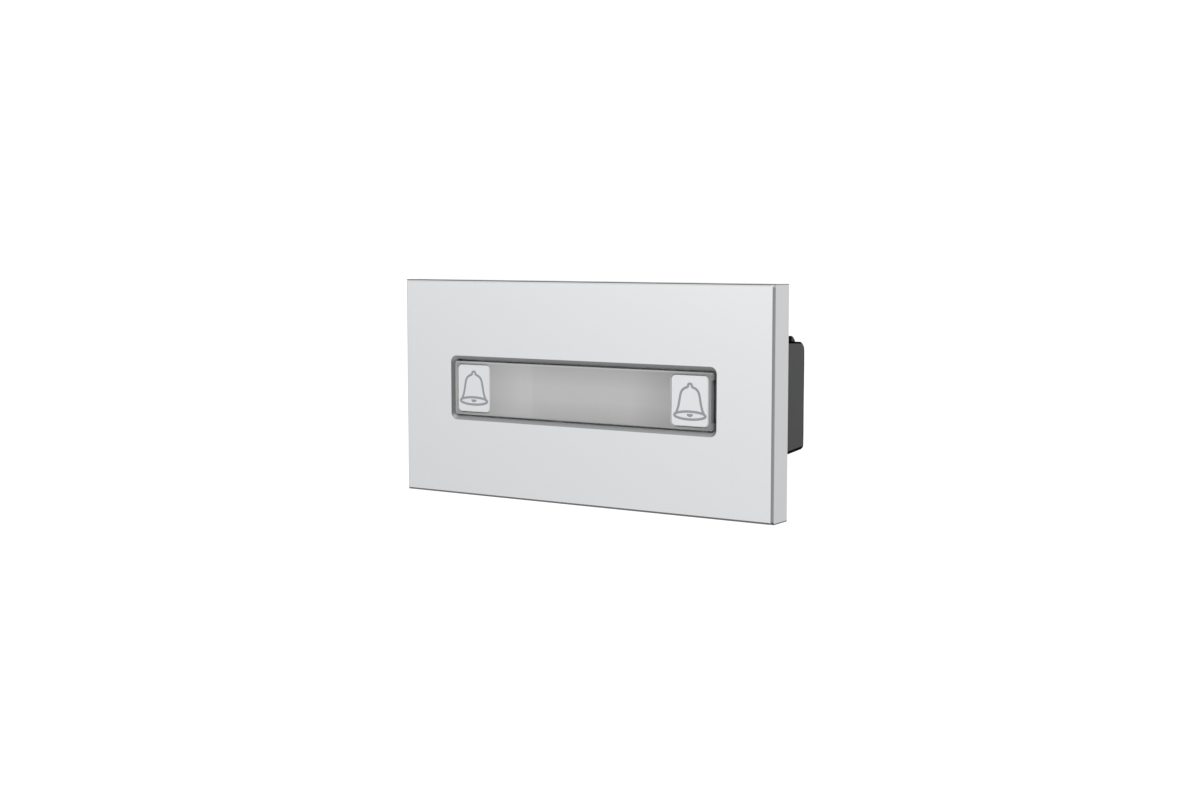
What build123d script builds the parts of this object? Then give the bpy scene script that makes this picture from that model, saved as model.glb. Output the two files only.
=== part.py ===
from build123d import *
from math import radians, tan
import os

# Intercom button module: a silver front plate with a clear name bar between two bell
# keys, and a drafted rear housing that hooks into a module frame.
# +Z is up, the visitor stands on the -Y side, and the origin is the centre of the
# seating plane, which is the back of the front plate's rim.

# Front plate
plate_width = 100.0
plate_height = 51.1
plate_depth = 6.6
plate_front_wall = 2.4
plate_rim = 2.4
plate_edge_chamfer = 0.5
plate_pocket_radius = 1.5
opening_width = 70.8
opening_height = 13.6
opening_radius = 0.76
opening_chamfer = 0.84
fence_thickness = 1.0
fence_gap = 0.2

# Window seal, a flat silicone ring behind the opening
seal_thickness = 0.8
seal_width = 2.2
seal_radius = 1.0
seal_overhang = 0.3
seal_clearance = 0.2

# Clear cover over the name card
cover_side_gap = 0.15
cover_top_gap = 0.485
cover_thickness = 2.2
cover_radius = 0.6
cover_edge_chamfer = 0.3
notch_height = 9.4
notch_depth = 0.4
hook_positions = (-14.0, 14.0)
hook_width = 4.0
hook_thickness = 0.7
hook_inset = 0.2
hook_reach = 2.7
hook_barb = 0.35
hook_barb_length = 0.6
hook_clearance = 0.1

# Name card and the light guide behind it
card_side_margin = 1.8
card_height = 9.4
card_thickness = 0.3
card_clearance = 0.15
guide_margin = 0.3
guide_lip = 1.7
guide_flange_thickness = 0.8
guide_leg_size = 1.6
guide_leg_inset = 1.6
guide_clearance = 0.15

# Bell keys
key_width = 9.4
key_end_margin = 1.05
key_top_margin = 0.715
key_radius = 1.1
key_edge_chamfer = 0.2
key_length = 4.0
key_wall = 1.2
key_flange_overlap = 0.8
key_flange_thickness = 1.0
key_rib_thickness = 0.8
key_pusher_radius = 2.3
key_pusher_length = 1.0
key_travel = 1.0
key_clearance = 0.15
key_pocket_clearance = 0.3

# Carrier that holds the keys, the card and the light guide
carrier_margin = 0.4
carrier_radius = 1.2
carrier_thickness = 3.0
platform_inset = 0.16
well_wall = 1.1
light_box_wall = 1.1
post_radius = 2.3
post_inset = 3.4
box_gap = 0.15

# Silicone boot and carbon pill under each key
boot_margin = 0.7
boot_base_thickness = 0.8
boot_pad_radius = 2.8
boot_pad_step = 0.9
boot_skirt_radius = 4.5
boot_wall = 0.6
pill_radius = 1.9
pill_thickness = 0.5
pill_clearance = 0.02

# Circuit board and what is soldered to it
board_clearance = 0.75
board_thickness = 1.6
board_gap = 3.0
led_spacing = 15.0
led_count = 3
led_width = 3.5
led_height = 2.8
led_thickness = 1.9
led_lens_inset = 0.3
led_lens_height = 0.9
chip_size = 7.0
chip_thickness = 1.0
chip_place = (-3.4, 3.0)
driver_width = 5.0
driver_height = 4.0
driver_thickness = 1.5
driver_centre_x = -4.0
driver_edge_margin = 3.0
capacitor_radius = 3.15
capacitor_length = 7.7
capacitor_base = 6.6
capacitor_base_thickness = 0.9
capacitor_place = (7.6, 1.0)

# Link sockets that chain one module to the next
socket_spacing = 48.0
socket_width = 14.4
socket_height = 8.4
socket_wall_x = 1.4
socket_wall_z = 1.3
socket_depth = 9.0
socket_recess = 0.8
socket_key_width = 3.0
socket_key_depth = 0.7
socket_fillet = 0.3
contact_count = 6
contact_pitch = 1.5
contact_width = 0.6
contact_thickness = 0.4
contact_setback = 1.0
contact_clearance = 0.02

# Rear housing
housing_width = 90.6
housing_height = 26.25
housing_depth = 19.4
housing_wall = 1.8
housing_draft = 3.0
housing_top_fillet = 2.2
housing_bottom_fillet = 1.0
housing_edge_chamfer = 0.3
flange_thickness = 2.2
flange_clearance = 0.3
flange_setback = 0.2
window_clearance = 0.3
bearing_rib_thickness = 1.2
bearing_rib_height = 16.0
bearing_rib_gap = 2.8
lug_width = 8.0
lug_inset = 1.5
lug_rise = 0.52
lug_length = 12.6
lug_fillet = 1.8
lug_edge_chamfer = 0.3
frame_sheet = 3.0
frame_clearance = 0.2
latch_width = 12.0
latch_slot = 1.0
latch_length = 13.0
latch_drop = 0.9
latch_ramp = 5.0

# Screws
screw_radius = 1.25
screw_inset_x = 6.1
screw_inset_z = 5.95
screw_head_radius = 2.25
screw_head_height = 1.0
screw_grip = 1.0
screw_length = 4.0
screw_hole_margin = 0.2
boss_wall = 1.55
head_clearance = 0.25
board_screw_radius = 1.0
board_screw_head_radius = 1.9
board_screw_head_height = 1.2
board_screw_length = 4.4
thread_clearance = 0.02
pass_clearance = 0.15
drive_width = 0.5
drive_length = 2.4
drive_depth = 0.6

# Where each layer lies along Y, from the front of the plate to the back of the housing
seat_y = 0.0
front_y = seat_y - plate_depth
wall_back_y = front_y + plate_front_wall
carrier_front_y = wall_back_y + seal_thickness
carrier_back_y = carrier_front_y + carrier_thickness
cover_back_y = front_y + cover_thickness
platform_y = cover_back_y
card_back_y = cover_back_y + card_thickness
board_front_y = carrier_back_y + board_gap
board_back_y = board_front_y + board_thickness
boot_base_y = board_front_y - boot_base_thickness
key_back_y = front_y + key_length
key_flange_back_y = key_back_y + key_flange_thickness
pusher_y = key_flange_back_y + key_pusher_length
pill_front_y = board_front_y - key_travel - pill_clearance - pill_thickness
flange_back_y = seat_y - flange_setback
flange_front_y = flange_back_y - flange_thickness
head_seat_y = flange_front_y + screw_grip
screw_tip_y = head_seat_y - screw_length
rear_y = seat_y + housing_depth
inner_rear_y = rear_y - housing_wall
socket_mouth_y = rear_y - socket_recess
shoulder_y = seat_y + frame_sheet + frame_clearance
lug_end = shoulder_y + lug_length

# Sizes that several pieces share
pocket_width = plate_width - 2 * plate_rim
pocket_height = plate_height - 2 * plate_rim
cover_width = opening_width - 2 * cover_side_gap
cover_height = opening_height - 2 * cover_top_gap
platform_width = cover_width - 2 * platform_inset
platform_height = cover_height - 2 * platform_inset
key_height = cover_height - 2 * key_top_margin
key_spacing = cover_width - key_width - 2 * key_end_margin
key_flange_width = key_width + 2 * key_flange_overlap
key_flange_height = key_height + 2 * key_flange_overlap
key_pocket_width = key_flange_width + 2 * key_pocket_clearance
key_pocket_height = key_flange_height + 2 * key_pocket_clearance
boot_width = key_pocket_width + 2 * boot_margin
boot_height = key_pocket_height + 2 * boot_margin
card_width = key_spacing - key_width - 2 * card_side_margin
guide_width = key_spacing - boot_width - 2 * (box_gap + light_box_wall + guide_clearance)
guide_height = card_height - 2 * guide_margin
guide_flange_height = guide_height + 2 * guide_lip
hook_outer_z = cover_height / 2 - hook_inset
hook_inner_z = hook_outer_z - hook_thickness
barb_y = cover_back_y + hook_reach - hook_barb_length
housing_inner_width = housing_width - 2 * housing_wall
housing_inner_height = housing_height - 2 * housing_wall
draft_slope = tan(radians(housing_draft))
board_narrowing = 2 * (draft_slope * (board_back_y - flange_back_y) + board_clearance)
board_width = housing_inner_width - board_narrowing
board_height = housing_inner_height - board_narrowing
carrier_width = board_width - 2 * carrier_margin
carrier_height = board_height - 2 * carrier_margin
bearing_rib_spacing = socket_spacing + socket_width + 2 * bearing_rib_gap
lug_spacing = housing_width - lug_width - 2 * lug_inset
lug_top = housing_height / 2 + lug_rise
socket_inner_z = socket_height / 2 - socket_wall_z

# Places in X, or in X and Z, that several pieces share
key_centres = (-key_spacing / 2, key_spacing / 2)
socket_centres = (-socket_spacing / 2, socket_spacing / 2)
led_places = [(i - (led_count - 1) / 2) * led_spacing for i in range(led_count)]
contact_places = [(i - (contact_count - 1) / 2) * contact_pitch for i in range(contact_count)]

os.makedirs("parts", exist_ok=True)


def facing(y):
    """The plane at depth y whose sketches read as the visitor sees them, X right and Z up."""
    return Plane.XZ.offset(-y)


def save(piece, name):
    """Labels a finished piece and writes it as its own file."""
    piece.part.label = name
    export_step(piece.part, f"parts/{name}.step")


def slab(width, height, radius, back, front, mode=Mode.ADD, places=((0, 0),)):
    """A flat block with rounded corners between two depths, at each place in X and Z."""
    with BuildSketch(facing(back)) as outline:
        with Locations(*places):
            if radius > 0:
                RectangleRounded(width, height, radius)
            else:
                Rectangle(width, height)
    extrude(outline.sketch, amount=back - front, mode=mode)


def rod(radius, back, front, places, mode=Mode.ADD):
    """Round bars or holes along Y between two depths, at each place in X and Z."""
    with BuildSketch(facing(back)) as outline:
        with Locations(*places):
            Circle(radius)
    extrude(outline.sketch, amount=back - front, mode=mode)


def corners(spacing_x, spacing_z):
    """The four corners of a rectangle that is centred on the module's axis."""
    return [(sx * spacing_x / 2, sz * spacing_z / 2) for sx in (-1, 1) for sz in (-1, 1)]


screw_places = corners(pocket_width - 2 * screw_inset_x, pocket_height - 2 * screw_inset_z)
post_places = [(side * (carrier_width / 2 - post_inset), 0) for side in (-1, 1)]


def drafted(width, height, front, back, mode=Mode.ADD):
    """A box that narrows towards the rear by the mould's draft."""
    with BuildSketch(Plane((0, front, 0), x_dir=(-1, 0, 0), z_dir=(0, 1, 0))) as outline:
        Rectangle(width, height)
    extrude(outline.sketch, amount=back - front, taper=housing_draft, mode=mode)


def housing_top(y):
    """The height of the housing's drafted top wall at depth y."""
    return housing_height / 2 - draft_slope * (y - flange_back_y)


# Front plate: die-cast shell, open at the back, with a chamfered opening for the bar
with BuildPart() as front_plate:
    slab(plate_width, plate_height, 0, seat_y, front_y)
    chamfer(front_plate.faces().sort_by(Axis.Y)[0].edges(), plate_edge_chamfer)
    slab(pocket_width, pocket_height, plate_pocket_radius, seat_y, wall_back_y, Mode.SUBTRACT)
    # four bosses take the housing screws
    rod(screw_radius + boss_wall, flange_front_y, wall_back_y, screw_places)
    # a low fence keeps the window seal in place
    fence_height = seal_thickness - fence_gap
    with BuildSketch(facing(wall_back_y + fence_height)):
        seal_outer = 2 * (seal_overhang + seal_width + seal_clearance)
        fence_outer = seal_outer + 2 * fence_thickness
        Rectangle(opening_width + fence_outer, opening_height + fence_outer)
        Rectangle(opening_width + seal_outer, opening_height + seal_outer, mode=Mode.SUBTRACT)
    extrude(amount=fence_height)
    slab(opening_width, opening_height, opening_radius, wall_back_y, front_y, Mode.SUBTRACT)
    chamfer(front_plate.faces().sort_by(Axis.Y)[0].inner_wires()[0].edges(), opening_chamfer)
    rod(
        screw_radius + thread_clearance,
        flange_front_y,
        screw_tip_y - screw_hole_margin,
        screw_places,
        Mode.SUBTRACT,
    )
save(front_plate, "front_plate")


# Window seal: a flat silicone ring squeezed between the plate and the carrier
with BuildPart() as window_seal:
    seal_hole_width = opening_width + 2 * seal_overhang
    seal_hole_height = opening_height + 2 * seal_overhang
    slab(
        seal_hole_width + 2 * seal_width,
        seal_hole_height + 2 * seal_width,
        seal_radius,
        carrier_front_y,
        wall_back_y,
    )
    slab(seal_hole_width, seal_hole_height, 0, carrier_front_y, wall_back_y, Mode.SUBTRACT)
save(window_seal, "window_seal")


# Clear cover: one moulded bar with a hole for each key, four snap hooks and a pry notch
with BuildPart() as clear_cover:
    slab(cover_width, cover_height, cover_radius, cover_back_y, front_y)
    chamfer(clear_cover.faces().sort_by(Axis.Y)[0].edges(), cover_edge_chamfer)
    slab(
        key_width + 2 * key_clearance,
        key_height + 2 * key_clearance,
        key_radius + key_clearance,
        cover_back_y,
        front_y,
        Mode.SUBTRACT,
        [(x, 0) for x in key_centres],
    )
    slab(
        2 * notch_depth,
        notch_height,
        0,
        cover_back_y,
        front_y,
        Mode.SUBTRACT,
        [(cover_width / 2, 0)],
    )
    tip_y = cover_back_y + hook_reach
    for x in hook_positions:
        for side in (-1, 1):
            with BuildSketch(Plane.YZ.offset(x)):
                with BuildLine():
                    Polyline(
                        (cover_back_y, side * hook_inner_z),
                        (tip_y, side * hook_inner_z),
                        (tip_y, side * hook_outer_z),
                        (barb_y, side * (hook_outer_z + hook_barb)),
                        (barb_y, side * hook_outer_z),
                        (cover_back_y, side * hook_outer_z),
                        close=True,
                    )
                make_face()
            extrude(amount=hook_width / 2, both=True)
save(clear_cover, "clear_cover")


# Name card: blank film that lies in the carrier's recess behind the cover
with BuildPart() as name_card:
    slab(card_width, card_height, 0, card_back_y, cover_back_y)
save(name_card, "name_card")


# Light guide: milky diffuser pushed in from behind, with a flange and four legs
with BuildPart() as light_guide:
    slab(guide_width, guide_height, 0, carrier_back_y, card_back_y)
    flange_y = carrier_back_y - guide_flange_thickness
    slab(guide_width, guide_flange_height, 0, carrier_back_y, flange_y)
    leg_places = corners(guide_width - 2 * guide_leg_inset, guide_height - 2 * guide_leg_inset)
    slab(guide_leg_size, guide_leg_size, 0, board_front_y, carrier_back_y, places=leg_places)
save(light_guide, "light_guide")


# Key carrier: the moulded frame behind the opening
with BuildPart() as key_carrier:
    slab(carrier_width, carrier_height, carrier_radius, carrier_back_y, carrier_front_y)
    slab(platform_width, platform_height, cover_radius, carrier_front_y, platform_y)
    # walls around each key's pocket press on the boots, and a box round the light guide stops stray light
    slab(
        key_pocket_width + 2 * well_wall,
        key_pocket_height + 2 * well_wall,
        0,
        boot_base_y,
        carrier_back_y,
        places=[(x, 0) for x in key_centres],
    )
    slab(
        guide_width + 2 * (guide_clearance + light_box_wall),
        guide_flange_height + 2 * (guide_clearance + light_box_wall),
        0,
        board_front_y,
        carrier_back_y,
    )
    rod(post_radius, board_front_y, carrier_back_y, post_places)
    # the light guide's window, with a wider pocket for its flange from behind
    slab(
        guide_width + 2 * guide_clearance,
        guide_height + 2 * guide_clearance,
        0,
        board_front_y,
        platform_y,
        Mode.SUBTRACT,
    )
    slab(
        guide_width + 2 * guide_clearance,
        guide_flange_height + 2 * guide_clearance,
        0,
        board_front_y,
        carrier_back_y - guide_flange_thickness,
        Mode.SUBTRACT,
    )
    slab(
        card_width + 2 * card_clearance,
        card_height + 2 * card_clearance,
        0,
        card_back_y,
        platform_y,
        Mode.SUBTRACT,
    )
    # a close guide for each key's cap, and a pocket behind it for the key's flange
    slab(
        key_width + 2 * key_clearance,
        key_height + 2 * key_clearance,
        key_radius + key_clearance,
        carrier_back_y,
        platform_y,
        Mode.SUBTRACT,
        [(x, 0) for x in key_centres],
    )
    slab(
        key_pocket_width,
        key_pocket_height,
        0,
        boot_base_y,
        key_back_y,
        Mode.SUBTRACT,
        [(x, 0) for x in key_centres],
    )
    # slots for the cover's hooks, undercut where the barbs catch
    for side in (-1, 1):
        slot_depth = hook_outer_z - hook_inner_z + 2 * hook_clearance
        slab(
            hook_width + 2 * hook_clearance,
            slot_depth,
            0,
            carrier_back_y,
            platform_y,
            Mode.SUBTRACT,
            [(x, side * (hook_inner_z + hook_outer_z) / 2) for x in hook_positions],
        )
        slab(
            hook_width + 2 * hook_clearance,
            slot_depth + hook_barb,
            0,
            carrier_back_y,
            barb_y - hook_clearance / 2,
            Mode.SUBTRACT,
            [(x, side * (hook_inner_z + hook_outer_z + hook_barb) / 2) for x in hook_positions],
        )
    rod(
        board_screw_radius + thread_clearance,
        board_front_y,
        board_back_y - board_screw_length - screw_hole_margin,
        post_places,
        Mode.SUBTRACT,
    )
save(key_carrier, "key_carrier")


# Bell keys, each with the boot and the pill that it presses
for side, x in zip(("left", "right"), key_centres):
    # hollow cap with a flange that stops it from coming out, and a ribbed pusher
    with BuildPart() as key:
        slab(key_width, key_height, key_radius, key_back_y, front_y, places=[(x, 0)])
        chamfer(key.faces().sort_by(Axis.Y)[0].edges(), key_edge_chamfer)
        slab(key_flange_width, key_flange_height, 0, key_flange_back_y, key_back_y, places=[(x, 0)])
        inner_width = key_width - 2 * key_wall
        inner_height = key_height - 2 * key_wall
        inner_front = front_y + key_wall
        slab(inner_width, inner_height, 0, key_flange_back_y, inner_front, Mode.SUBTRACT, [(x, 0)])
        slab(inner_width, key_rib_thickness, 0, key_flange_back_y, inner_front, places=[(x, 0)])
        slab(key_rib_thickness, inner_height, 0, key_flange_back_y, inner_front, places=[(x, 0)])
        rod(key_pusher_radius, pusher_y, inner_front, [(x, 0)])
    save(key, f"{side}_key")

    # dome of silicone: a pad on a thin skirt, with its base sealed round the pocket
    with BuildPart() as boot:
        slab(boot_width, boot_height, 0, board_front_y, boot_base_y, places=[(x, 0)])
        pad_back_y = pusher_y + boot_pad_step
        with BuildSketch(Plane.XY) as dome:
            with BuildLine():
                Polyline(
                    (x, pusher_y),
                    (x + boot_pad_radius, pusher_y),
                    (x + boot_pad_radius, pad_back_y),
                    (x + boot_skirt_radius, boot_base_y),
                    (x + boot_skirt_radius, board_front_y),
                    (x, board_front_y),
                    close=True,
                )
            make_face()
        revolve(dome.sketch, axis=Axis((x, 0, 0), (0, 1, 0)))
        with BuildSketch(Plane.XY) as hollow:
            with BuildLine():
                Polyline(
                    (x, pill_front_y),
                    (x + pill_radius + boot_wall / 2, pill_front_y),
                    (x + boot_skirt_radius - boot_wall, boot_base_y + boot_wall / 2),
                    (x + boot_skirt_radius - boot_wall, board_front_y),
                    (x, board_front_y),
                    close=True,
                )
            make_face()
        revolve(hollow.sketch, axis=Axis((x, 0, 0), (0, 1, 0)), mode=Mode.SUBTRACT)
    save(boot, f"{side}_key_boot")

    with BuildPart() as pill:
        rod(pill_radius, pill_front_y + pill_thickness, pill_front_y, [(x, 0)])
    save(pill, f"{side}_contact_pill")


# Circuit board, drilled for its screws
with BuildPart() as circuit_board:
    slab(board_width, board_height, 0, board_back_y, board_front_y)
    rod(
        board_screw_radius + pass_clearance,
        board_back_y,
        board_front_y,
        post_places,
        Mode.SUBTRACT,
    )
save(circuit_board, "circuit_board")


# Lamps behind the name card, each with a lens block on its base
for i, x in enumerate(led_places):
    with BuildPart() as lamp:
        lamp_front_y = board_front_y - led_thickness
        lens_back_y = lamp_front_y + led_lens_height
        slab(led_width, led_height, 0, board_front_y, lens_back_y, places=[(x, 0)])
        lens_size = (led_width - 2 * led_lens_inset, led_height - 2 * led_lens_inset)
        slab(*lens_size, 0, lens_back_y, lamp_front_y, places=[(x, 0)])
    save(lamp, f"label_lamp_{i + 1}")


# Components on the back of the board
with BuildPart() as controller_chip:
    slab(chip_size, chip_size, 0, board_back_y + chip_thickness, board_back_y, places=[chip_place])
save(controller_chip, "controller_chip")

with BuildPart() as line_driver:
    driver_z = driver_edge_margin + (driver_height - board_height) / 2
    slab(
        driver_width,
        driver_height,
        0,
        board_back_y + driver_thickness,
        board_back_y,
        places=[(driver_centre_x, driver_z)],
    )
save(line_driver, "line_driver")

with BuildPart() as supply_capacitor:
    base_back_y = board_back_y + capacitor_base_thickness
    slab(capacitor_base, capacitor_base, 0, base_back_y, board_back_y, places=[capacitor_place])
    rod(capacitor_radius, board_back_y + capacitor_length, base_back_y, [capacitor_place])
save(supply_capacitor, "supply_capacitor")


# Link sockets: tall shrouded sockets that reach through the housing's rear wall
for side, x in zip(("in", "out"), socket_centres):
    contact_z = socket_inner_z - contact_thickness / 2
    contact_row = [(x + place, contact_z) for place in contact_places]
    with BuildPart() as socket:
        slab(socket_width, socket_height, 0, socket_mouth_y, board_back_y, places=[(x, 0)])
        fillet(socket.edges().filter_by(Axis.Y), socket_fillet)
        floor_y = socket_mouth_y - socket_depth
        slab(
            socket_width - 2 * socket_wall_x,
            2 * socket_inner_z,
            0,
            socket_mouth_y,
            floor_y,
            Mode.SUBTRACT,
            [(x, 0)],
        )
        slab(
            socket_key_width,
            2 * socket_key_depth,
            0,
            socket_mouth_y,
            floor_y,
            Mode.SUBTRACT,
            [(x, -socket_inner_z)],
        )
        slab(
            contact_width + 2 * contact_clearance,
            contact_thickness + 2 * contact_clearance,
            0,
            floor_y,
            board_back_y,
            Mode.SUBTRACT,
            contact_row,
        )
    save(socket, f"{side}_socket")

    with BuildPart() as contacts:
        contact_tip_y = socket_mouth_y - contact_setback
        slab(contact_width, contact_thickness, 0, contact_tip_y, board_back_y, places=contact_row)
    save(contacts, f"{side}_socket_contacts")


# Rear housing: one drafted moulding with its screw flange, lugs, latch, windows and ribs
with BuildPart() as rear_housing:
    # the side profile, with its rounded rear corners, is trimmed to the plan's draft
    with BuildSketch(Plane.YZ) as profile:
        with BuildLine():
            Polyline(
                (flange_back_y, -housing_height / 2),
                (flange_back_y, housing_height / 2),
                (rear_y, housing_top(rear_y)),
                (rear_y, -housing_top(rear_y)),
                close=True,
            )
        make_face()
        fillet(profile.vertices().group_by(Axis.X)[-1].sort_by(Axis.Y)[-1], housing_top_fillet)
        fillet(profile.vertices().group_by(Axis.X)[-1].sort_by(Axis.Y)[0], housing_bottom_fillet)
    extrude(amount=housing_width / 2, both=True)
    drafted(housing_width, 2 * housing_height, flange_back_y, rear_y, Mode.INTERSECT)
    for face in rear_housing.faces().sort_by(Axis.X)[0], rear_housing.faces().sort_by(Axis.X)[-1]:
        # all but the front edge of each end, which the flange covers
        chamfer(face.edges().sort_by(Axis.Y)[1:], housing_edge_chamfer)
    # lugs on the top wall that hook behind the frame's sheet
    lug_root = housing_top(lug_end) - housing_wall / 3
    for x in (-lug_spacing / 2, lug_spacing / 2):
        with BuildSketch(Plane.YZ.offset(x)) as lug:
            with Locations(((shoulder_y + lug_end) / 2, (lug_root + lug_top) / 2)):
                Rectangle(lug_end - shoulder_y, lug_top - lug_root)
            fillet(lug.vertices().group_by(Axis.X)[-1].sort_by(Axis.Y)[-1], lug_fillet)
        extrude(amount=lug_width / 2, both=True)
    chamfer(rear_housing.edges().filter_by(Axis.Y).group_by(Axis.Z)[-1], lug_edge_chamfer)
    slab(
        pocket_width - 2 * flange_clearance,
        pocket_height - 2 * flange_clearance,
        plate_pocket_radius,
        flange_back_y,
        flange_front_y,
    )
    drafted(housing_inner_width, housing_inner_height, flange_back_y, inner_rear_y, Mode.SUBTRACT)
    slab(housing_inner_width, housing_inner_height, 0, flange_back_y, flange_front_y, Mode.SUBTRACT)
    # ribs that bear on the back of the board
    slab(
        bearing_rib_thickness,
        bearing_rib_height,
        0,
        inner_rear_y + housing_wall / 2,
        board_back_y,
        places=[(-bearing_rib_spacing / 2, 0), (bearing_rib_spacing / 2, 0)],
    )
    # windows for the two link sockets
    slab(
        socket_width + 2 * window_clearance,
        socket_height + 2 * window_clearance,
        0,
        rear_y,
        inner_rear_y,
        Mode.SUBTRACT,
        [(x, 0) for x in socket_centres],
    )
    # the latch: a tongue cut free in the bottom wall, with a ramped catch at its tip
    slot_front_y = shoulder_y - 2 * latch_slot
    slot_bottom = -housing_height / 2
    slot_top = housing_wall - housing_top(slot_front_y + latch_length)
    with BuildSketch(Plane.XY.offset(slot_bottom)):
        with Locations((0, slot_front_y + latch_length / 2)):
            Rectangle(latch_width + 2 * latch_slot, latch_length)
        with Locations((0, slot_front_y + latch_slot + latch_length / 2)):
            Rectangle(latch_width, latch_length, mode=Mode.SUBTRACT)
    extrude(amount=slot_top - slot_bottom, mode=Mode.SUBTRACT)
    catch_root = -housing_top(shoulder_y + latch_ramp) + housing_wall / 3
    with BuildSketch(Plane.YZ):
        with BuildLine():
            Polyline(
                (shoulder_y, catch_root),
                (shoulder_y, -housing_top(shoulder_y) - latch_drop),
                (shoulder_y + latch_ramp, -housing_top(shoulder_y + latch_ramp)),
                (shoulder_y + latch_ramp, catch_root),
                close=True,
            )
        make_face()
    extrude(amount=latch_width / 2, both=True)
    # counterbored holes for the housing screws
    rod(
        screw_radius + pass_clearance,
        flange_back_y,
        flange_front_y,
        screw_places,
        Mode.SUBTRACT,
    )
    rod(
        screw_head_radius + head_clearance,
        flange_back_y,
        head_seat_y,
        screw_places,
        Mode.SUBTRACT,
    )
save(rear_housing, "rear_housing")


def cross_screws(seat, head, shank, head_height, length, places):
    """Pan-head screws driven towards the front, with a cross recess in each head."""
    rod(head, seat + head_height, seat, places)
    rod(shank, seat, seat - length, places)
    for width, height in ((drive_length, drive_width), (drive_width, drive_length)):
        slab(width, height, 0, seat + head_height, seat + head_height - drive_depth, Mode.SUBTRACT, places)


# Screws: four through the housing's flange, two through the board
with BuildPart() as housing_screws:
    cross_screws(
        head_seat_y,
        screw_head_radius,
        screw_radius,
        screw_head_height,
        screw_length,
        screw_places,
    )
save(housing_screws, "housing_screws")

with BuildPart() as board_screws:
    cross_screws(
        board_back_y,
        board_screw_head_radius,
        board_screw_radius,
        board_screw_head_height,
        board_screw_length,
        post_places,
    )
save(board_screws, "board_screws")
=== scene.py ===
import bpy
from math import radians
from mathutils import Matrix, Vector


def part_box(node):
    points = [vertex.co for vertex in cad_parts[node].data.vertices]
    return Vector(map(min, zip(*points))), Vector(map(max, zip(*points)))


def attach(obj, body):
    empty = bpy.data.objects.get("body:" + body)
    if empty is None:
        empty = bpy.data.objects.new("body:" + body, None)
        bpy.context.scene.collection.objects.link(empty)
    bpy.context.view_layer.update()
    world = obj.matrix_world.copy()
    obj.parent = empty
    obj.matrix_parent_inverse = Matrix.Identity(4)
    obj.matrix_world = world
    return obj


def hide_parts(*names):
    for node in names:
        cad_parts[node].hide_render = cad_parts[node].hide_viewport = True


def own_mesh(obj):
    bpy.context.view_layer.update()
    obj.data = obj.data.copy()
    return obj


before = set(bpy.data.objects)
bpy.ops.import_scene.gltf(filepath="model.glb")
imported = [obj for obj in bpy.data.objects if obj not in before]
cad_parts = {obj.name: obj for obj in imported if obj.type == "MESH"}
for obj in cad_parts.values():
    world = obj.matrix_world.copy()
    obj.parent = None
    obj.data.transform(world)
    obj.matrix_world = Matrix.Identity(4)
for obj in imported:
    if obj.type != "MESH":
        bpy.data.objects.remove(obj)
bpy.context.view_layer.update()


# ---------------------------------------------------------------------------
# Camera, floor and light. The camera stands right of the module and a little
# above it, in a room that is white all round, with a broad lamp overhead, one
# at the left front and a small one close above.
# ---------------------------------------------------------------------------
camera_tilt = 5.234
camera_turn = 33.268
bpy.ops.object.select_all(action="DESELECT")
bpy.ops.object.camera_add(
    location=(0.21324, -0.32215, 0.03361),
    rotation=(radians(90 - camera_tilt), 0, radians(camera_turn)),
)
camera = bpy.context.object
camera.name = "camera"
camera.data.lens = 50.52
camera.data.sensor_width = 36
camera.data.clip_start = 0.01
bpy.context.scene.camera = camera

bpy.ops.mesh.primitive_plane_add(size=8, location=(0, 0, -0.16))
floor = bpy.context.object
floor.name = "floor"
floor_paint = bpy.data.materials.new("floor_paint")
floor_paint.use_nodes = True
floor_nodes = floor_paint.node_tree.nodes
floor_links = floor_paint.node_tree.links
floor_shader = floor_nodes["Principled BSDF"]
floor_shader.inputs["Roughness"].default_value = 0.95
floor_shader.inputs["Specular IOR Level"].default_value = 0.1
floor_place = floor_nodes.new("ShaderNodeTexCoord")
floor_noise = floor_nodes.new("ShaderNodeTexNoise")
floor_noise.inputs["Scale"].default_value = 3.0
floor_tone = floor_nodes.new("ShaderNodeMapRange")
floor_tone.inputs["To Min"].default_value = 0.97
floor_tone.inputs["To Max"].default_value = 0.99
floor_links.new(floor_place.outputs["Object"], floor_noise.inputs["Vector"])
floor_links.new(floor_noise.outputs["Fac"], floor_tone.inputs["Value"])
floor_links.new(floor_tone.outputs["Result"], floor_shader.inputs["Base Color"])
floor.data.materials.append(floor_paint)

world = bpy.data.worlds.new("white_room")
world.use_nodes = True
room_light = world.node_tree.nodes["Background"]
room_light.inputs["Color"].default_value = (1, 1, 1, 1)
room_light.inputs["Strength"].default_value = 1.06
bpy.context.scene.world = world
bpy.context.scene.view_settings.view_transform = "Standard"
bpy.context.scene.view_settings.look = "None"

for lamp_name, lamp_place, lamp_turn, lamp_size, lamp_power in (
    ("overhead_lamp", (0.0, 0.0, 1.2), (0, 0, 0), 1.6, 2.0),
    ("left_lamp", (-0.15, -0.50, 0.30), (60, 0, -17), 0.25, 0.75),
    ("upper_lamp", (0.06, -0.12, 0.18), (33, 0, 20), 0.12, 0.16),
):
    bpy.ops.object.light_add(
        type="AREA", location=lamp_place, rotation=[radians(a) for a in lamp_turn]
    )
    lamp = bpy.context.object
    lamp.name = lamp_name
    lamp.data.size = lamp_size
    lamp.data.energy = lamp_power


# ---------------------------------------------------------------------------
# Front plate: a die-cast shell with a satin silver coat, screwed to the housing
# from behind. Its bevels, outside and round the opening, are darker by painted
# shade and painted reflection, set by the way each bevel faces.
# ---------------------------------------------------------------------------
mm = 0.001
black = (0.0, 0.0, 0.0)
silver_white = (1.0, 1.012, 1.03)
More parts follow.
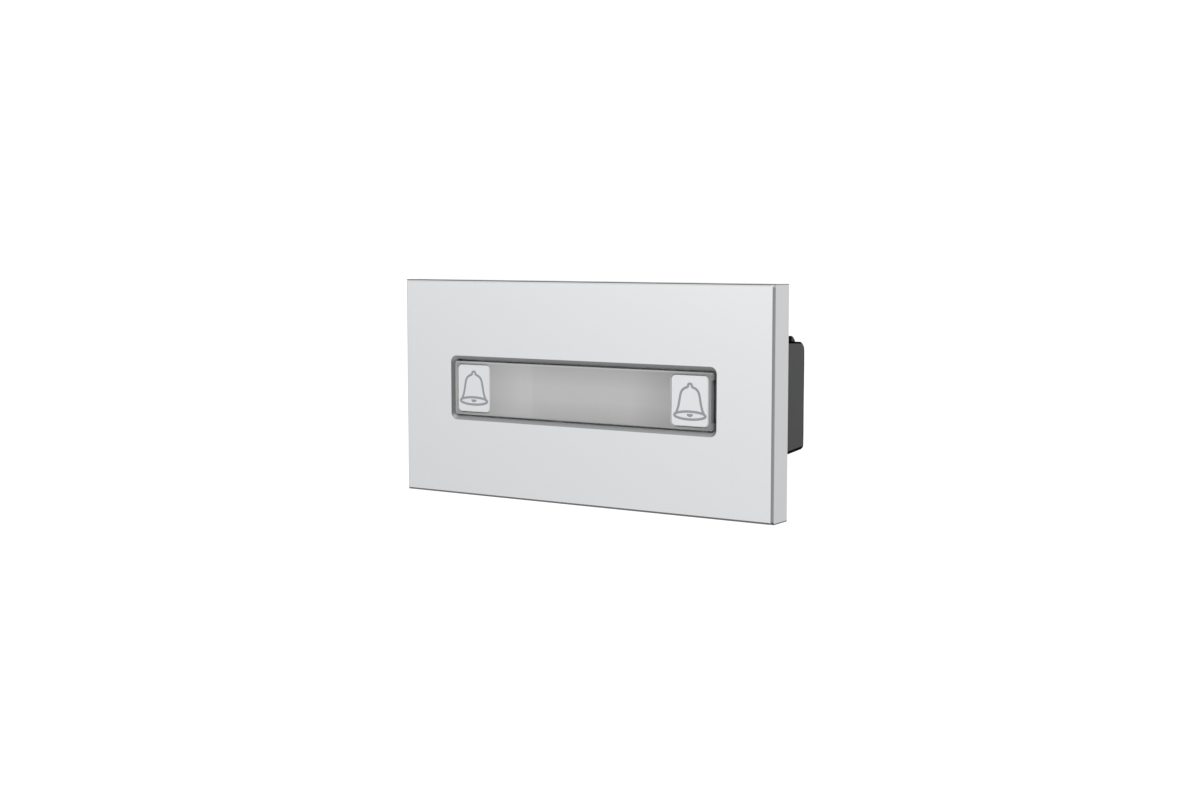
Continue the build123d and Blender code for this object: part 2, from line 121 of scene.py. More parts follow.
# how far a bevel of 45 degrees faces along each of its two axes
bevel_facing = 0.707


def new_finish(name):
    """A material with its shader and its pattern's place on the piece."""
    finish = bpy.data.materials.new(name)
    finish.use_nodes = True
    tree = finish.node_tree
    shader = tree.nodes["Principled BSDF"]
    place = tree.nodes.new("ShaderNodeTexCoord")
    return finish, tree, shader, place.outputs["Object"]


def axes(tree, vector):
    """A place or a direction, taken apart into X, Y and Z."""
    parts = tree.nodes.new("ShaderNodeSeparateXYZ")
    tree.links.new(vector, parts.inputs["Vector"])
    return parts.outputs["X"], parts.outputs["Y"], parts.outputs["Z"]


def facing(tree):
    """Which way each point of a surface faces, taken apart into X, Y and Z."""
    return axes(tree, tree.nodes.new("ShaderNodeTexCoord").outputs["Normal"])


def grain(tree, place, size, detail=2.0):
    """Fine irregular grain of about the given size in metres."""
    noise = tree.nodes.new("ShaderNodeTexNoise")
    noise.inputs["Scale"].default_value = 1 / size
    noise.inputs["Detail"].default_value = detail
    tree.links.new(place, noise.inputs["Vector"])
    return noise.outputs["Fac"]


def ranged(tree, value, low, high, from_low=0.0, from_high=1.0):
    """A value spread from one range over another, and held at its ends."""
    spread = tree.nodes.new("ShaderNodeMapRange")
    spread.inputs["From Min"].default_value = from_low
    spread.inputs["From Max"].default_value = from_high
    spread.inputs["To Min"].default_value = low
    spread.inputs["To Max"].default_value = high
    tree.links.new(value, spread.inputs["Value"])
    return spread.outputs["Result"]


def calculated(tree, operation, a, b=None):
    """One step of arithmetic. Each value may be a number or a socket."""
    step = tree.nodes.new("ShaderNodeMath")
    step.operation = operation
    for value, socket in ((a, step.inputs[0]), (b, step.inputs[1])):
        if isinstance(value, (int, float)):
            socket.default_value = value
        elif value is not None:
            tree.links.new(value, socket)
    return step.outputs["Value"]


def product(tree, value, *others):
    """Several values multiplied."""
    for other in others:
        value = calculated(tree, "MULTIPLY", value, other)
    return value


def total(tree, value, *others):
    """Several values added up."""
    for other in others:
        value = calculated(tree, "ADD", value, other)
    return value


def absolute(tree, value):
    """A value without its sign."""
    return calculated(tree, "ABSOLUTE", value)


def without(tree, share):
    """What is left of the whole without a share."""
    return calculated(tree, "SUBTRACT", 1.0, share)


def mixed(tree, share, colour_a, colour_b):
    """A colour between two others. Either may be a colour or a socket."""
    mix = tree.nodes.new("ShaderNodeMix")
    mix.data_type = "RGBA"
    tree.links.new(share, mix.inputs["Factor"])
    for colour, socket in ((colour_a, mix.inputs["A"]), (colour_b, mix.inputs["B"])):
        if isinstance(colour, tuple):
            socket.default_value = (*colour, 1)
        else:
            tree.links.new(colour, socket)
    return mix.outputs["Result"]


def coloured(tree, shader, share, colour_a, colour_b):
    """Colours a surface by a share between two colours."""
    tree.links.new(mixed(tree, share, colour_a, colour_b), shader.inputs["Base Color"])


def roughened(tree, shader, share, low, high):
    """Varies the roughness of a surface by a share."""
    tree.links.new(ranged(tree, share, low, high), shader.inputs["Roughness"])


def bumps(tree, shader, height, distance, strength=1.0):
    """Gives a surface relief of the given depth in metres."""
    bump = tree.nodes.new("ShaderNodeBump")
    bump.inputs["Distance"].default_value = distance
    bump.inputs["Strength"].default_value = strength
    tree.links.new(height, bump.inputs["Height"])
    tree.links.new(bump.outputs["Normal"], shader.inputs["Normal"])


def coat(node, finish):
    """Gives a CAD node its finish."""
    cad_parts[node].data.materials.clear()
    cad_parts[node].data.materials.append(finish)


plate_coat, tree, shader, place = new_finish("satin_silver_coat")
shader.inputs["Metallic"].default_value = 0.35
place_x, place_y, place_z = axes(tree, place)
facing_x, facing_y, facing_z = facing(tree)
speckle = grain(tree, place, 0.35 * mm, 3)
# painted light and shade: the coat is lighter towards the upper right, and darker on the narrow
# sides
side_share = absolute(tree, facing_x)
painted_light_gradient = total(
    tree,
    ranged(tree, place_x, -0.036, 0.036, -50 * mm, 50 * mm),
    ranged(tree, place_z, -0.036, 0.036, -25 * mm, 25 * mm),
    product(tree, side_share, -0.075),
    0.9825,
)
tone = product(tree, painted_light_gradient, ranged(tree, speckle, 0.506, 0.528))
# painted shade and light on the bevels, by the way they face: darkest towards the left, and the
# outer one is lightest at the top
painted_bevel_shade = total(
    tree,
    product(tree, facing_x, 0.045),
    product(tree, facing_z, 0.024),
    product(tree, absolute(tree, facing_z), 0.20),
    ranged(tree, place_z, 0.0, 0.17, 24.9 * mm, 25.0 * mm),
    ranged(tree, place_z, -0.15, 0.0, -25.0 * mm, -24.9 * mm),
    ranged(tree, place_x, 0.0, 0.07, 49.0 * mm, 49.2 * mm),
    0.082,
)
# the opening's bevel and its lower wall catch light from the cover
bevel_glow = ranged(tree, place_y, 1.0, 1.36, -6.4 * mm, -5.8 * mm)
painted_bevel_shade = product(tree, painted_bevel_shade, bevel_glow)
in_opening = ranged(tree, absolute(tree, place_z), 1.0, 0.0, 6.9 * mm, 7.0 * mm)
lit_wall = product(tree, in_opening, ranged(tree, facing_z, 0.0, 0.5, 0.5, 0.9))
tone = product(tree, tone, total(tree, lit_wall, 1.0))
off_slope = absolute(tree, total(tree, absolute(tree, facing_y), -bevel_facing))
on_bevel = ranged(tree, off_slope, 1.0, 0.0, 0.02, 0.15)
tone = mixed(tree, on_bevel, tone, painted_bevel_shade)
# painted shade on the top side, strongest along its front edge
topmost = ranged(tree, place_z, 0.0, 1.0, 25.32 * mm, 25.38 * mm)
foremost = ranged(tree, place_y, 1.0, 0.35, -5.9 * mm, -5.7 * mm)
tone = product(tree, tone, without(tree, product(tree, topmost, foremost, 0.9)))
# painted shade: the narrow sides end in thin dark edges, above and below
low_edge = ranged(tree, place_z, 0.8, 0.0, -25.31 * mm, -25.24 * mm)
top_edge = ranged(tree, place_z, 0.0, 0.65, 25.38 * mm, 25.44 * mm)
side_edge_shade = product(
    tree,
    calculated(tree, "MAXIMUM", low_edge, top_edge),
    ranged(tree, side_share, 0.0, 1.0, 0.9, 0.95),
)
tone = product(tree, tone, without(tree, side_edge_shade))
coloured(tree, shader, tone, black, silver_white)
roughened(tree, shader, speckle, 0.36, 0.48)
bumps(tree, shader, speckle, 0.01 * mm, 0.5)
coat("front_plate", plate_coat)


# ---------------------------------------------------------------------------
# Window seal: a flat ring of grey silicone, cut from sheet. It is squeezed
# between the plate and the carrier.
# ---------------------------------------------------------------------------
silicone, tree, shader, place = new_finish("grey_silicone")
mottle = grain(tree, place, 1.2 * mm)
coloured(tree, shader, mottle, (0.17, 0.17, 0.173), (0.20, 0.20, 0.203))
shader.inputs["Roughness"].default_value = 0.6
shader.inputs["Sheen Weight"].default_value = 0.2
bumps(tree, shader, grain(tree, place, 0.3 * mm), 0.02 * mm, 0.4)
coat("window_seal", silicone)


# ---------------------------------------------------------------------------
# Clear cover: one bar moulded in translucent grey plastic with a polished front,
# held by four snap hooks. Its colour holds painted shade: a little darker near its
# ends and long edges, where less light comes back from behind it.
# ---------------------------------------------------------------------------
cover_plastic, tree, shader, place = new_finish("translucent_grey_plastic")
place_x, place_y, place_z = axes(tree, place)
facing_y = absolute(tree, facing(tree)[1])
from_middle = absolute(tree, total(tree, place_x, 0.8 * mm))
from_axis = absolute(tree, place_z)
# painted shade towards the bar's ends, and towards its long edges
end_glow = ranged(tree, from_middle, 1.0, 0.56, 15 * mm, 35 * mm)
edge_loss = product(
    tree,
    ranged(tree, from_axis, 0.0, 0.20, 1.5 * mm, 6.0 * mm),
    ranged(tree, place_x, 0.5, 1.0, -22 * mm, -8 * mm),
)
# painted light: the bar's lower, upper and left edges are lighter
lower_edge_light = ranged(tree, place_z, 1.8, 1.0, -6.12 * mm, -6.00 * mm)
upper_edge_light = ranged(tree, place_z, 1.0, 1.5, 6.00 * mm, 6.12 * mm)
left_edge_light = ranged(tree, place_x, 1.25, 1.0, -34.7 * mm, -34.5 * mm)
# light gathers in the walls of the bar, more so in its key holes, and most in the right one
wall_glow = ranged(tree, facing_y, 2.6, 1.0, 0.2, 0.6)
on_wall = ranged(tree, facing_y, 1.0, 0.0, 0.2, 0.6)
hole_glow = product(
    tree,
    ranged(tree, from_axis, 1.0, 0.0, 5.7 * mm, 5.8 * mm),
    ranged(tree, from_middle, 1.0, 0.0, 35.0 * mm, 35.1 * mm),
    on_wall,
    ranged(tree, place_x, 0.55, 1.2, -20 * mm, 20 * mm),
)
# painted shade: the pry notch at the right end is dark in its depth
notch_shade = product(
    tree,
    ranged(tree, place_x, 0.0, 1.0, 34.4 * mm, 34.5 * mm),
    ranged(tree, from_axis, 1.0, 0.0, 4.7 * mm, 4.8 * mm),
    on_wall,
    ranged(tree, place_y, 0.0, 0.7, -5.5 * mm, -5.2 * mm),
)
# and the upper wall loses light behind the edge
top_loss = product(
    tree,
    ranged(tree, place_z, 0.0, 0.55, 6.25 * mm, 6.29 * mm),
    ranged(tree, place_y, 0.0, 1.0, -6.3 * mm, -6.1 * mm),
)
glow = product(tree, end_glow, lower_edge_light, upper_edge_light, left_edge_light, wall_glow)
for loss in (edge_loss, notch_shade, top_loss):
    glow = product(tree, glow, without(tree, loss))
haze = ranged(tree, grain(tree, place, 6 * mm), -0.02, 0.02)
glow = calculated(tree, "MINIMUM", total(tree, glow, haze), 1.0)
# left of the first lamp's reach the bar is a shade lighter
lamp_step = ranged(tree, place_x, 1.04, 1.0, -12.6 * mm, -12.3 * mm)
# a share stops at 1, so it is scaled down here, and the colour is that of the brightest painted
# glow, on a wall
brightest = 2.5
brightest_glow_grey = (0.915, 0.915, 0.915)
glow = product(tree, glow, lamp_step, total(tree, hole_glow, 1.0), 1 / brightest)
coloured(tree, shader, glow, black, brightest_glow_grey)
shader.inputs["Roughness"].default_value = 0.12
shader.inputs["IOR"].default_value = 1.49
shader.inputs["Transmission Weight"].default_value = 0.15
coat("clear_cover", cover_plastic)


# ---------------------------------------------------------------------------
# Name card: blank grey film, cut to the carrier's recess. It lies loose between
# the cover and the light guide, and slides out once the cover is off.
# ---------------------------------------------------------------------------
card_film, tree, shader, place = new_finish("blank_card_film")
fibre = grain(tree, place, 0.4 * mm, 4)
coloured(tree, shader, fibre, (0.40, 0.40, 0.39), (0.45, 0.45, 0.44))
shader.inputs["Roughness"].default_value = 0.7
bumps(tree, shader, fibre, 0.01 * mm, 0.4)
coat("name_card", card_film)


# ---------------------------------------------------------------------------
# Light guide: a block moulded in milky plastic, set in the carrier behind the
# card. It spreads the light of the three lamps.
# ---------------------------------------------------------------------------
milky, tree, shader, place = new_finish("milky_diffuser")
coloured(tree, shader, grain(tree, place, 4 * mm), (0.80, 0.80, 0.78), (0.86, 0.86, 0.84))
shader.inputs["Roughness"].default_value = 0.35
shader.inputs["Transmission Weight"].default_value = 0.3
coat("light_guide", milky)


# ---------------------------------------------------------------------------
# Key carrier: a light grey moulding with a fine mould grain. It guides the keys
# and presses the seal against the back of the plate.
# ---------------------------------------------------------------------------
carrier_plastic, tree, shader, place = new_finish("grey_carrier_plastic")
place_y, place_z = axes(tree, place)[1:]
# painted light and shade: the strip above the cover is lighter at the plate's edge and darker
# down at the cover
at_strip = product(
    tree,
    ranged(tree, place_z, 0.0, 1.0, 6.1 * mm, 6.2 * mm),
    ranged(tree, place_y, 1.0, 0.0, -3.3 * mm, -3.2 * mm),
)
strip_tone = ranged(tree, place_z, 0.45, 1.45, 6.38 * mm, 6.48 * mm)
strip_light_and_shade = product(tree, at_strip, total(tree, strip_tone, -1.0))
cloud = ranged(tree, grain(tree, place, 12 * mm), 0.60, 0.65)
tone = product(tree, total(tree, strip_light_and_shade, 1.0), cloud)
spark = grain(tree, place, 0.5 * mm, 3)
coloured(tree, shader, tone, black, (1.0, 1.0, 0.992))
roughened(tree, shader, spark, 0.44, 0.56)
bumps(tree, shader, spark, 0.01 * mm)
coat("key_carrier", carrier_plastic)


# ---------------------------------------------------------------------------
# Bell keys: hollow moulded caps with a satin silver-white finish, flush with
# the cover. Each slides in its own guide.
# ---------------------------------------------------------------------------
key_plastic, tree, shader, place = new_finish("silver_white_key")
speckle = grain(tree, place, 0.25 * mm, 3)
# painted highlight: the sides are lighter than the front
side_highlight = ranged(tree, absolute(tree, facing(tree)[1]), 1.0, 0.0, 0.2, 0.6)
# painted light: the keys are lighter towards the right
tone = total(
    tree,
    ranged(tree, axes(tree, place)[0], 0.462, 0.486, -30 * mm, 30 * mm),
    ranged(tree, speckle, -0.006, 0.006),
    product(tree, side_highlight, 0.33),
)
coloured(tree, shader, tone, black, silver_white)
roughened(tree, shader, speckle, 0.36, 0.46)
bumps(tree, shader, speckle, 0.006 * mm, 0.4)
for key in ("left_key", "right_key"):
    coat(key, key_plastic)


# ---------------------------------------------------------------------------
# Bell signs: a generic hand bell in thin grey lines, printed on each key with
# a slight relief. The body, the mouth and the clapper are one piece.
# ---------------------------------------------------------------------------
def picked(*pieces):
    """Selects these pieces alone, and makes the first one active."""
    bpy.ops.object.select_all(action="DESELECT")
    for piece in pieces:
        piece.select_set(True)
    bpy.context.view_layer.objects.active = pieces[0]


def settled(location=True, rotation=True, scale=True):
    """Moves the place, turn and size of what is selected into its mesh."""
    bpy.ops.object.transform_apply(location=location, rotation=rotation, scale=scale)


def dressed(piece, finish, crease=35):
    """Gives a new piece its finish, with edges crisp above an angle in degrees."""
    picked(piece)
    bpy.ops.object.shade_smooth_by_angle(angle=radians(crease))
    piece.data.materials.clear()
    piece.data.materials.append(finish)


def copied(form, name, place, turn=0):
    """A copy of a finished form with its own mesh, put in its place and turned there."""
    picked(form)
    bpy.ops.object.duplicate()
    piece = bpy.context.object
    piece.name = name
    piece.location = place
    piece.rotation_euler = (0, radians(turn), 0)
    settled()
    return piece


sign_ink, tree, shader, place = new_finish("grey_sign_ink")
mottle = grain(tree, place, 0.6 * mm)
coloured(tree, shader, mottle, (0.170, 0.172, 0.195), (0.205, 0.207, 0.230))
shader.inputs["Roughness"].default_value = 0.5

line_radius = 0.29 * mm
line_relief = 0.03 * mm
mouth_reach, mouth_rise = 3.86 * mm, 0.86 * mm
mouth_z, clapper_z = -3.13 * mm, -2.85 * mm
# the bell's right side in millimetres, from the middle of the crown to the mouth
bell_side = (
    (0.0, 3.84), (0.34, 3.76), (0.48, 3.5), (0.45, 3.26), (0.62, 3.08), (1.17, 2.9),
    (1.83, 2.48), (2.24, 1.8), (2.44, 0.95), (2.62, -0.1), (2.82, -1.1), (3.08, -1.95),
    (3.44, -2.66), (3.78, -3.16),
)
bpy.ops.object.select_all(action="DESELECT")
# the body's line runs from the left of the mouth over the crown to the right
bpy.ops.curve.primitive_nurbs_path_add()
body_line = bpy.context.object
spline = body_line.data.splines[0]
outline = [(-x, z) for x, z in reversed(bell_side)] + list(bell_side[1:])
spline.points.add(len(outline) - len(spline.points))
for point, (x, z) in zip(spline.points, outline):
    point.co = (x * mm, 0, z * mm, 1)
spline.order_u = 3
spline.use_endpoint_u = True
spline.resolution_u = 6
# the mouth is an ellipse
bpy.ops.curve.primitive_bezier_circle_add(radius=1)
mouth_line = bpy.context.object
mouth_line.data.resolution_u = 16
mouth_line.rotation_euler = (radians(90), 0, 0)
picked(mouth_line)
settled(location=False, scale=False)
mouth_line.scale = (mouth_reach, 1, mouth_rise)
settled(location=False, rotation=False)
mouth_line.location = (0, 0, mouth_z)
# its line is as thick as the body's again, which the sizing had changed
for point in mouth_line.data.splines[0].bezier_points:
    point.radius = 1
for line in (body_line, mouth_line):
    line.data.dimensions = "3D"
    line.data.bevel_resolution = 3
    line.data.use_fill_caps = True
    line.data.bevel_depth = line_radius
    picked(line)
    bpy.ops.object.convert(target="MESH")
# the clapper hangs in the middle of the mouth, flat at the top and round below
bpy.ops.object.select_all(action="DESELECT")
bpy.ops.mesh.primitive_uv_sphere_add(segments=20, ring_count=12, radius=1)
clapper = bpy.context.object
bpy.ops.object.mode_set(mode="EDIT")
bpy.ops.mesh.select_all(action="SELECT")
bpy.ops.mesh.bisect(plane_co=(0, 0, 0.1), plane_no=(0, 0, 1), use_fill=True, clear_outer=True)
bpy.ops.object.mode_set(mode="OBJECT")
clapper.scale = (0.78 * mm, line_radius, 0.62 * mm)
clapper.location = (0, 0, clapper_z)
picked(body_line, mouth_line, clapper)
settled()
bpy.ops.object.join()
bell_form = bpy.context.object
bpy.ops.object.mode_set(mode="EDIT")
bpy.ops.mesh.select_all(action="SELECT")
bpy.ops.mesh.remove_doubles(threshold=0.001 * mm)
bpy.ops.mesh.normals_make_consistent(inside=False)
bpy.ops.object.mode_set(mode="OBJECT")
# the round lines are pressed flat to the relief of print, and spread a little sideways
bell_form.scale = (1.02, line_relief / line_radius, 1)
settled()
dressed(bell_form, sign_ink, 40)
# each is printed a hair off the middle of its key
for key, right, up in (
    ("left_key", 0.02 * mm, 0.16 * mm),
    ("right_key", 0.08 * mm, -0.06 * mm),
):
    low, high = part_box(key)
    spot = ((low.x + high.x) / 2 + right, low.y, up)
    sign = copied(bell_form, key.replace("key", "bell_sign"), spot)
    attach(sign, key)
bpy.data.objects.remove(bell_form)


# ---------------------------------------------------------------------------
# Key boots: a dome of soft silicone under each key, on a flat base that lies on
# the board. The dome has a thin skirt, and each dome gets a mesh of its own.
# ---------------------------------------------------------------------------
def drawn_out(*way):
    """Draws out what is chosen of the piece that is open."""
    bpy.ops.mesh.extrude_region_move(TRANSFORM_OT_translate={"value": way})


def turned(rings, segments=48):
    """A round closed piece along Y, grown ring by ring from pairs of depth and radius."""
    depth, radius = rings[0]
    bpy.ops.object.select_all(action="DESELECT")
    bpy.ops.mesh.primitive_circle_add(
        vertices=segments,
        radius=radius,
        fill_type="NGON",
        location=(0, depth, 0),
        rotation=(radians(90), 0, 0),
    )
    piece = bpy.context.object
    bpy.ops.object.mode_set(mode="EDIT")
    for next_depth, next_radius in rings[1:]:
        drawn_out(0, next_depth - depth, 0)
        if next_radius != radius:
            growth = next_radius / radius
            bpy.ops.transform.resize(
                value=(growth, 1, growth), center_override=(0, next_depth, 0)
            )
        depth, radius = next_depth, next_radius
    bpy.ops.mesh.select_all(action="SELECT")
    bpy.ops.mesh.normals_make_consistent(inside=False)
    bpy.ops.object.mode_set(mode="OBJECT")
    settled()
    return piece


def block(centre, size):
    """A plain block to start a piece from, with its place and size in its mesh."""
    bpy.ops.object.select_all(action="DESELECT")
    bpy.ops.mesh.primitive_cube_add(size=1, location=centre)
    bpy.context.object.scale = size
    settled()
    return bpy.context.object


def chosen(piece, kind, test):
    """Opens a piece with only the faces or edges chosen that pass a test."""
    if piece.mode == "EDIT":
        bpy.ops.object.mode_set(mode="OBJECT")
    picked(piece)
    bpy.ops.object.mode_set(mode="EDIT")
    bpy.ops.mesh.select_mode(type=kind)
    bpy.ops.mesh.select_all(action="DESELECT")
    bpy.ops.object.mode_set(mode="OBJECT")
    for part in piece.data.polygons if kind == "FACE" else piece.data.edges:
        part.select = test(part)
    bpy.ops.object.mode_set(mode="EDIT")


def runs_deep(piece, edge):
    """Whether an edge of a piece runs from its front to its back."""
    start, end = (piece.data.vertices[corner].co for corner in edge.vertices)
    return abs(start.y - end.y) > 0.5 * mm


def cut_out(piece, tool):
    """Cuts the form of a tool out of a piece."""
    cut = piece.modifiers.new("cut", "BOOLEAN")
    cut.operation = "DIFFERENCE"
    cut.object = tool
    bpy.context.view_layer.objects.active = piece
    bpy.ops.object.modifier_apply(modifier="cut")


boot_silicone, tree, shader, place = new_finish("dark_boot_silicone")
mottle = grain(tree, place, 1.5 * mm)
coloured(tree, shader, mottle, (0.050, 0.050, 0.053), (0.070, 0.070, 0.073))
roughened(tree, shader, grain(tree, place, 0.4 * mm), 0.52, 0.66)
shader.inputs["Sheen Weight"].default_value = 0.25
bumps(tree, shader, grain(tree, place, 0.3 * mm), 0.015 * mm, 0.5)

low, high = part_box("left_key_boot")
base_thickness = 0.8 * mm
base_corner = 0.9 * mm
base_y = high.y - base_thickness
# the dome from its foot to the pad under the key
dome_form = turned((
    (base_y, 4.5 * mm), (base_y - 0.25 * mm, 4.44 * mm), (base_y - 0.55 * mm, 4.1 * mm),
    (base_y - 1.15 * mm, 3.38 * mm), (base_y - 1.42 * mm, 3.0 * mm),
    (base_y - 1.6 * mm, 2.82 * mm), (low.y + 0.22 * mm, 2.78 * mm),
    (low.y + 0.06 * mm, 2.72 * mm), (low.y, 2.56 * mm),
))
# and its hollow from below the board's face up to the pill's seat
hollow = turned((
    (high.y + 1 * mm, 3.9 * mm), (base_y - 0.02 * mm, 3.9 * mm),
    (base_y - 0.66 * mm, 2.3 * mm), (base_y - 0.72 * mm, 2.2 * mm),
))
base_form = block(
    (0, high.y - base_thickness / 2, 0), (high.x - low.x, base_thickness, high.z - low.z)
)
chosen(base_form, "EDGE", lambda edge: runs_deep(base_form, edge))
bpy.ops.mesh.bevel(offset=base_corner, segments=5)
bpy.ops.object.mode_set(mode="OBJECT")
for part, form in (("dome", dome_form), ("base", base_form)):
    cut_out(form, hollow)
    dressed(form, boot_silicone)
    for side in ("left", "right"):
        low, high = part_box(f"{side}_key_boot")
        x = (low.x + high.x) / 2
        piece = copied(form, f"{side}_boot_{part}", (x, 0, 0))
        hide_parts(f"{side}_key_boot")
        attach(piece, "module")
        if part == "dome":
            # the dome is 2.4 mm high, and the key goes in by 1 mm
            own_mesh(piece)
    bpy.data.objects.remove(form)
bpy.data.objects.remove(hollow)


# ---------------------------------------------------------------------------
# Contact pills: conductive carbon rubber, moulded into the boots. They touch
# the board when a key is pressed.
# ---------------------------------------------------------------------------
def moulded(name, dark, light, roughness, grain_size, grain_depth):
    """Moulded plastic or rubber with a fine grain from its mould."""
    finish, tree, shader, place = new_finish(name)
    spark = grain(tree, place, grain_size, 3)
    coloured(tree, shader, grain(tree, place, 12 * mm), dark, light)
    roughened(tree, shader, spark, roughness - 0.06, roughness + 0.06)
    bumps(tree, shader, spark, grain_depth)
    return finish


carbon_rubber = moulded(
    "carbon_rubber", (0.012, 0.012, 0.012), (0.02, 0.02, 0.02), 0.55, 0.3 * mm, 0.01 * mm
)
for side in ("left", "right"):
    coat(f"{side}_contact_pill", carbon_rubber)


# ---------------------------------------------------------------------------
# Circuit board: glass-fibre laminate with a green mask, under which copper
# tracks run lengthways. It is screwed to the carrier.
# ---------------------------------------------------------------------------
board_mask, tree, shader, place = new_finish("green_board_mask")
tracks = tree.nodes.new("ShaderNodeTexBrick")
tracks.offset = 0.37
tracks.inputs["Color1"].default_value = (0.012, 0.105, 0.042, 1)
tracks.inputs["Color2"].default_value = (0.010, 0.088, 0.036, 1)
tracks.inputs["Mortar"].default_value = (0.006, 0.050, 0.022, 1)
tracks.inputs["Scale"].default_value = 1.0
tracks.inputs["Mortar Size"].default_value = 0.16 * mm
tracks.inputs["Brick Width"].default_value = 19 * mm
tracks.inputs["Row Height"].default_value = 1.1 * mm
flat_place = tree.nodes.new("ShaderNodeMapping")
flat_place.inputs["Rotation"].default_value = (radians(-90), 0, 0)
tree.links.new(place, flat_place.inputs["Vector"])
tree.links.new(flat_place.outputs["Vector"], tracks.inputs["Vector"])
tree.links.new(tracks.outputs["Color"], shader.inputs["Base Color"])
shader.inputs["Roughness"].default_value = 0.32
bumps(tree, shader, tracks.outputs["Fac"], 0.03 * mm, 0.6)
coat("circuit_board", board_mask)


# ---------------------------------------------------------------------------
# Label lamps: three white light-emitting blocks, each with a yellowish lens on
# its front, soldered in a row behind the light guide.
# ---------------------------------------------------------------------------
lamp_block, tree, shader, place = new_finish("white_lamp_block")
on_lens = ranged(tree, axes(tree, place)[1], 1.0, 0.0, 1.55 * mm, 1.62 * mm)
lens = mixed(tree, grain(tree, place, 0.8 * mm), (0.80, 0.70, 0.24), (0.86, 0.77, 0.34))
coloured(tree, shader, on_lens, (0.82, 0.82, 0.80), lens)
roughened(tree, shader, on_lens, 0.5, 0.2)
bumps(tree, shader, grain(tree, place, 0.2 * mm), 0.005 * mm, 0.4)
for number in (1, 2, 3):
    coat(f"label_lamp_{number}", lamp_block)


# ---------------------------------------------------------------------------
# Controller chip and line driver: flat black packages on the back of the board,
# each on two rows of bent tin-plated legs.
# ---------------------------------------------------------------------------
def bright_metal(name, dark, light, roughness, grain_size, relief=0):
    """Plated or drawn metal with a fine uneven shine."""
    finish, tree, shader, place = new_finish(name)
    shader.inputs["Metallic"].default_value = 1.0
    uneven = grain(tree, place, grain_size, 3)
    coloured(tree, shader, uneven, dark, light)
    roughened(tree, shader, uneven, *roughness)
    if relief:
        bumps(tree, shader, uneven, relief, 0.5)
    return finish


package_resin = moulded(
    "black_package_resin",
    (0.014, 0.014, 0.015), (0.022, 0.022, 0.023), 0.5, 0.25 * mm, 0.008 * mm,
)
tin = bright_metal("tin_plate", (0.62, 0.62, 0.60), (0.74, 0.74, 0.72), (0.25, 0.4), 0.6 * mm)

foot_length = 0.4 * mm
leg_thickness = 0.16 * mm
leg_width = 0.3 * mm
foot_gap = 0.35 * mm
leg_bite = 0.06 * mm
for node, leg_count, leg_pitch in (
    ("controller_chip", 8, 0.8 * mm),
    ("line_driver", 4, 1.27 * mm),
):
    coat(node, package_resin)
    low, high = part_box(node)
    side_x = (high.x - low.x) / 2
    rise = (high.y - low.y) / 2 - 0.2 * mm
    # the foot on the board, a knee, the riser and the part that enters the package's side
    leg_form = block(
        (side_x + foot_gap + foot_length / 2, low.y + leg_thickness / 2, 0),
        (foot_length, leg_thickness, leg_width),
    )
    chosen(leg_form, "FACE", lambda face: face.normal.x < -0.9)
    drawn_out(-leg_thickness, 0, 0)
    knee_end = side_x + foot_gap
    chosen(leg_form, "FACE", lambda face: face.normal.y > 0.9 and face.center.x < knee_end)
    drawn_out(0, rise, 0)
    drawn_out(0, leg_thickness, 0)
    riser_end = low.y + leg_thickness + rise
    chosen(leg_form, "FACE", lambda face: face.normal.x < -0.9 and face.center.y > riser_end)
    drawn_out(leg_thickness - foot_gap - leg_bite, 0, 0)
    bpy.ops.object.mode_set(mode="OBJECT")
    legs = []
    for turn in (0, 180):
        for i in range(leg_count):
            z = (low.z + high.z) / 2 + (i - (leg_count - 1) / 2) * leg_pitch
            legs.append(copied(leg_form, "leg", ((low.x + high.x) / 2, 0, z), turn))
    bpy.data.objects.remove(leg_form)
    picked(*legs)
    bpy.ops.object.join()
    leg_row = bpy.context.object
    leg_row.name = f"{node}_legs"
    dressed(leg_row, tin)
    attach(leg_row, "module")


# ---------------------------------------------------------------------------
# Supply capacitor: a drawn aluminium can, rolled in near its foot, on a square
# black base with two cut corners.
# ---------------------------------------------------------------------------
can_metal = bright_metal(
    "drawn_aluminium", (0.66, 0.67, 0.68), (0.76, 0.77, 0.78), (0.22, 0.34), 0.9 * mm
)

low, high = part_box("supply_capacitor")
can_x, can_z = (low.x + high.x) / 2, (low.z + high.z) / 2
base_height = 0.9 * mm
corner_cut = 1.3 * mm
foot_y = low.y + base_height
can_form = turned((
    (foot_y, 3.0 * mm), (foot_y + 0.1 * mm, 3.12 * mm), (foot_y + 0.75 * mm, 3.15 * mm),
    (foot_y + 1.0 * mm, 2.95 * mm), (foot_y + 1.2 * mm, 2.86 * mm),
    (foot_y + 1.4 * mm, 2.95 * mm), (foot_y + 1.65 * mm, 3.15 * mm),
    (high.y - 0.35 * mm, 3.15 * mm), (high.y - 0.1 * mm, 3.06 * mm), (high.y, 2.85 * mm),
    (high.y - 0.02 * mm, 2.6 * mm), (high.y - 0.12 * mm, 2.4 * mm),
))
can = copied(can_form, "supply_capacitor_can", (can_x, 0, can_z))
bpy.data.objects.remove(can_form)
can_base = block(
    (can_x, low.y + base_height / 2, can_z), (high.x - low.x, base_height, high.z - low.z)
)
can_base.name = "supply_capacitor_base"
corners = can_base.data.vertices
chosen(
    can_base,
    "EDGE",
    lambda edge: runs_deep(can_base, edge) and corners[edge.vertices[0]].co.x < can_x,
)
bpy.ops.mesh.bevel(offset=corner_cut, segments=1)
bpy.ops.object.mode_set(mode="OBJECT")
for piece, finish in ((can, can_metal), (can_base, package_resin)):
    dressed(piece, finish)
    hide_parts("supply_capacitor")
    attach(piece, "module")


